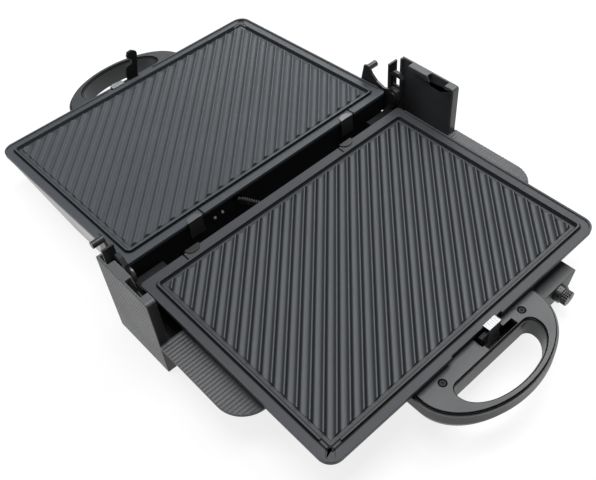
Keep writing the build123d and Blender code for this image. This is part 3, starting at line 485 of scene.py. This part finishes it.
# Name, colour, roughness, grain scale, grain depth and the shader's own constants
GRAINED = [
    ("black_plastic", (0.006, 0.0063, 0.0068), 0.4, PLASTIC_GRAIN, 0.00006, {"specular": 0.35}),
    ("handle_plastic", (0.036, 0.038, 0.041), 0.42, PLASTIC_GRAIN, 0.00006, {}),
    ("knob_plastic", (0.02, 0.021, 0.022), 0.3, PLASTIC_GRAIN, 0.00003, {}),
    ("slider_plastic", (0.03, 0.03, 0.032), 0.5, SOFT_GRAIN, 0.00006, {}),
    ("zinc_steel", (0.12, 0.12, 0.12), 0.4, METAL_GRAIN, 0.00003, {"metallic": 1.0}),
    ("dark_screw", (0.003, 0.003, 0.003), 0.45, PLASTIC_GRAIN, 0.00003, {"specular": 0.2}),
    ("rivet_steel", (0.85, 0.85, 0.85), 0.25, METAL_GRAIN, 0.00001, {"metallic": 0.2}),
    ("dark_steel", (0.018, 0.018, 0.02), 0.35, PLASTIC_GRAIN, 0.00004, {}),
    ("lid_steel", (0.36, 0.36, 0.37), 0.38, METAL_GRAIN, 0.00004, {"metallic": 1.0}),
    ("spring_steel", (0.06, 0.06, 0.062), 0.35, METAL_GRAIN, 0.00002, {"metallic": 1.0}),
    ("heater_sheath", (0.06, 0.058, 0.055), 0.6, METAL_GRAIN, 0.00008, {"metallic": 0.6}),
    ("tray_aluminium", (0.6, 0.6, 0.6), 0.4, METAL_GRAIN, 0.00004, {"metallic": 1.0}),
    ("rubber", (0.02, 0.02, 0.02), 0.75, SOFT_GRAIN, 0.00008, {}),
    ("wire_cover", (0.02, 0.02, 0.02), 0.6, SOFT_GRAIN, 0.00006, {}),
    ("wing_plastic", (0.05, 0.053, 0.056), 0.45, PLASTIC_GRAIN, 0.00006, {}),
    # The seam finish is painted shade for the handle covers' seams
    ("seam_painted_shade", (0.001, 0.001, 0.001), 0.6, PLASTIC_GRAIN, 0.00003, {"specular": 0.05}),
    ("dull_steel", (0.15, 0.153, 0.158), 0.42, METAL_GRAIN, 0.00003, {"metallic": 1.0}),
]
materials = {name: grained(name, *values, **extra) for name, *values, extra in GRAINED}
materials["tower_plastic"] = ridged_tower("tower_plastic", (0.07, 0.073, 0.078), 0.42)
materials["clip_ridges"] = ridged_clip("clip_ridges", (0.34, 0.345, 0.35), 0.45)
materials["nonstick"] = coated_plate(
    "nonstick", (0.054, 0.058, 0.0635), 0.38, 0.2, BASE_WAYS, BASE_RIB_PAINTED_LIGHT
)
# Painted light: the lid's coating is the base's coating painted lighter, with its own rib curve of
# painted light and shade
materials["lid_coating"] = coated_plate(
    "lid_coating", (0.0625, 0.069, 0.0765), 0.38, 0.2, LID_WAYS, LID_RIB_PAINTED_LIGHT
)

# Nodes whose finish differs from the rest of their slot
FINISHES = {
    "base_release_clip": "clip_ridges",
    "lid_release_clip": "clip_ridges",
    "lid_plate": "lid_coating",
    "left_side_wing": "wing_plastic",
    "right_side_wing": "wing_plastic",
    "control_box": "wing_plastic",
    "base_plate_rear_clips": "spring_steel",
    "lid_plate_rear_clips": "dull_steel",
}
slots = {part["node"]: part["material_slot"] for part in frame["record"]["subparts"]}
body_names = {
    node_name: body_name
    for body_name, body_nodes in frame["record"]["behaviour"]["bodies"].items()
    for node_name in body_nodes
}


def paint(piece, node_name):
    """The piece gets its node's own finish, or that of the node's slot, and no other."""
    piece.data.materials.clear()
    piece.data.materials.append(materials[FINISHES.get(node_name, slots[node_name])])


for node_name, node_object in frame["nodes"].items():
    paint(node_object, node_name)


# Pieces that stand for CAD nodes
def merged_copy(node_name):
    """A copy of a CAD node's mesh with its loose triangles joined, which stands for the node."""
    mesh = frame["nodes"][node_name].data.copy()
    piece = bpy.data.objects.new(f"{node_name}_finish", mesh)
    bpy.context.scene.collection.objects.link(piece)
    bpy.ops.object.select_all(action="DESELECT")
    piece.select_set(True)
    bpy.context.view_layer.objects.active = piece
    bpy.ops.object.mode_set(mode="EDIT")
    bpy.ops.mesh.select_all(action="SELECT")
    bpy.ops.mesh.remove_doubles(threshold=MERGE_DISTANCE)
    bpy.ops.mesh.dissolve_limited(angle_limit=FLAT_ANGLE)
    bpy.ops.object.mode_set(mode="OBJECT")
    paint(piece, node_name)
    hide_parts(node_name)
    return piece


SEAMED = ("base_handle_cover", "lid_handle_cover")


def soften(node_name, width):
    """The node's sharp edges get a small round, which on the handle covers is painted black as
    painted shade in the seam.
    """
    piece = merged_copy(node_name)
    bevel = piece.modifiers.new("edges", "BEVEL")
    # Painted shade: the handle covers' rounds get the black seam finish
    if node_name in SEAMED:
        piece.data.materials.append(materials["seam_painted_shade"])
        bevel.material = 1
    bevel.width = width
    bevel.segments = BEVEL_SEGMENTS
    bevel.limit_method = "ANGLE"
    bevel.angle_limit = BEVEL_ANGLE
    bevel.use_clamp_overlap = False
    bpy.ops.object.modifier_apply(modifier="edges")
    bpy.ops.object.shade_smooth_by_angle(angle=SMOOTH_ANGLE)
    even = piece.modifiers.new("even", "WEIGHTED_NORMAL")
    even.keep_sharp = True
    bpy.ops.object.modifier_apply(modifier="even")
    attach(piece, body_names[node_name])


EDGE_ROUNDS = {
    0.0009: ["base_handle_cover", "lid_handle_cover"],
    0.0007: ["left_tower_cover", "right_tower_cover", "control_box"],
    0.0005: ["lid_lock", "lid_lock_button", "left_hinge_block", "right_hinge_block", "lid_frame"],
    0.0004: ["control_knob", "base_release_lever", "lid_release_lever"],
    0.0003: [
        "base_plate", "lid_plate", "left_side_wing", "right_side_wing", "lid_cover",
        "base_housing",
    ],
    0.0002: [
        "base_release_clip", "lid_release_clip", "base_plate_rear_clips",
        "lid_plate_rear_clips",
    ],
}
for edge_round, round_nodes in EDGE_ROUNDS.items():
    for round_node in round_nodes:
        soften(round_node, edge_round)


def smooth_copy(node_name):
    """A merged copy with smooth curved faces."""
    piece = merged_copy(node_name)
    bpy.ops.object.shade_smooth_by_angle(angle=SMOOTH_ANGLE)
    return piece


# Each catch's spring, listed with its fixed and pushed bodies, as a smooth merged copy
SPRING_BODIES = {
    "base_release_spring": ("base", "base_release"),
    "lid_release_spring": ("lid", "lid_release"),
}
for spring_node, (fixed, pushed) in SPRING_BODIES.items():
    spring = smooth_copy(spring_node)
    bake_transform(spring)

# The spring tube and its wires as smooth merged copies
for conduit_node in ("wire_conduit", "conduit_wires"):
    conduit = smooth_copy(conduit_node)
    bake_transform(conduit)


# Floor, surround and lamps
def seen_rays(tree, labels):
    """The Light Path node, and 1 for a ray of any of the kinds given."""
    path = tree.nodes.new("ShaderNodeLightPath")
    seen = path.outputs[labels[0]]
    for label in labels[1:]:
        seen = math_node(tree, "MAXIMUM", seen, path.outputs[label])
    return path, seen


def add_floor():
    """Plain pale floor that shows near white to the camera and keeps the shadow."""
    bpy.ops.mesh.primitive_plane_add(size=FLOOR_SIZE, location=(0.0, 0.0, 0.0))
    floor = bpy.context.object
    floor.name = "floor"
    material = bpy.data.materials.new("floor")
    material.use_nodes = True
    tree = material.node_tree
    shader = tree.nodes["Principled BSDF"]
    shader.inputs["Base Color"].default_value = FLOOR_COLOUR
    shader.inputs["Roughness"].default_value = FLOOR_ROUGHNESS
    shader.inputs["Specular IOR Level"].default_value = FLOOR_SPECULAR
    glow = tree.nodes.new("ShaderNodeEmission")
    glow.inputs["Color"].default_value = FLOOR_GLOW
    _, seen = seen_rays(tree, ("Is Camera Ray", "Is Glossy Ray", "Is Transmission Ray"))
    tree.links.new(seen, glow.inputs["Strength"])
    both = tree.nodes.new("ShaderNodeAddShader")
    tree.links.new(shader.outputs["BSDF"], both.inputs[0])
    tree.links.new(glow.outputs["Emission"], both.inputs[1])
    tree.links.new(both.outputs["Shader"], tree.nodes["Material Output"].inputs["Surface"])
    floor.data.materials.append(material)


def add_world():
    """Surround that is white to the camera, dim to lit surfaces and pale in reflections."""
    world = bpy.data.worlds.new("studio")
    bpy.context.scene.world = world
    world.use_nodes = True
    tree = world.node_tree
    background = tree.nodes["Background"]
    background.inputs["Color"].default_value = WORLD_COLOUR
    path, seen = seen_rays(tree, ("Is Camera Ray", "Is Transmission Ray"))
    plain = math_node(tree, "MULTIPLY_ADD", seen, 1.0 - WORLD_LEVEL, WORLD_LEVEL)
    glossy = path.outputs["Is Glossy Ray"]
    level = math_node(tree, "MULTIPLY_ADD", glossy, WORLD_GLINT, plain)
    tree.links.new(level, background.inputs["Strength"])


def add_lamp(name, place, power):
    """A large square area lamp aimed at the grill."""
    data = bpy.data.lights.new(name, "AREA")
    data.shape = "SQUARE"
    data.size = LAMP_SIZE
    data.energy = power
    lamp = bpy.data.objects.new(name, data)
    bpy.context.scene.collection.objects.link(lamp)
    turn = (LAMP_TARGET - Vector(place)).to_track_quat("-Z", "Y").to_matrix().to_4x4()
    lamp.matrix_world = Matrix.Translation(place) @ turn


add_floor()
add_world()
for lamp_name, (lamp_place, lamp_power) in LAMPS.items():
    add_lamp(lamp_name, lamp_place, lamp_power)
